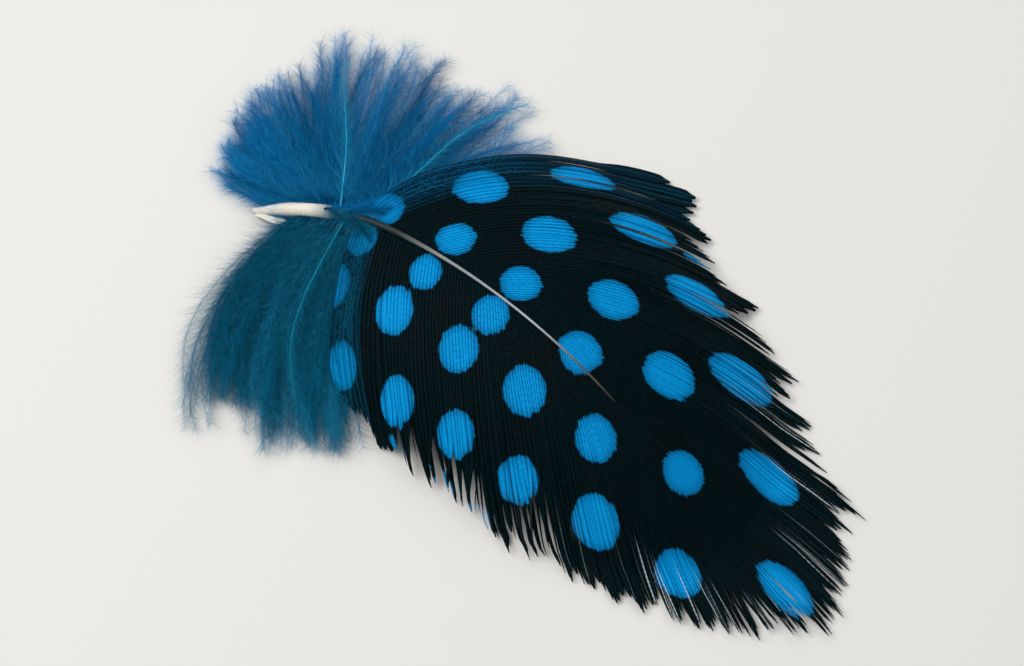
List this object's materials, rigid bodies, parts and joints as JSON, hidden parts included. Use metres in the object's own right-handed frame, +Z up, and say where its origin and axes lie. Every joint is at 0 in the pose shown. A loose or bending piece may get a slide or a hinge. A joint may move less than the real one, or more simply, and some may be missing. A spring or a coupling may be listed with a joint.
{
  "type": "guinea fowl feather",
  "caption": "Domed body feather lying on its underside: a pale quill and fine arched shaft, two broad black vanes with round blue spots, and loose blue down at the base.",
  "frame": {"origin": "middle of the feather's footprint, on the surface it lies on", "axes": "+X from the quill towards the tip of the vanes, +Y to the feather's left, +Z up, out of its rounded upper side"},
  "size_m": [0.0868, 0.0542, 0.0105],
  "materials": {
    "shaft": "smooth horny keratin, cream at the quill and darkening to the tip",
    "vane": "soft satin barbs, black with round dyed-blue spots",
    "down": "matte, fluffy, dyed blue"
  },
  "bodies": {
    "root": {"shaft": "shaft", "left_vane": "vane", "right_vane": "vane", "left_down": "down", "right_down": "down"}
  },
  "joints": []
}
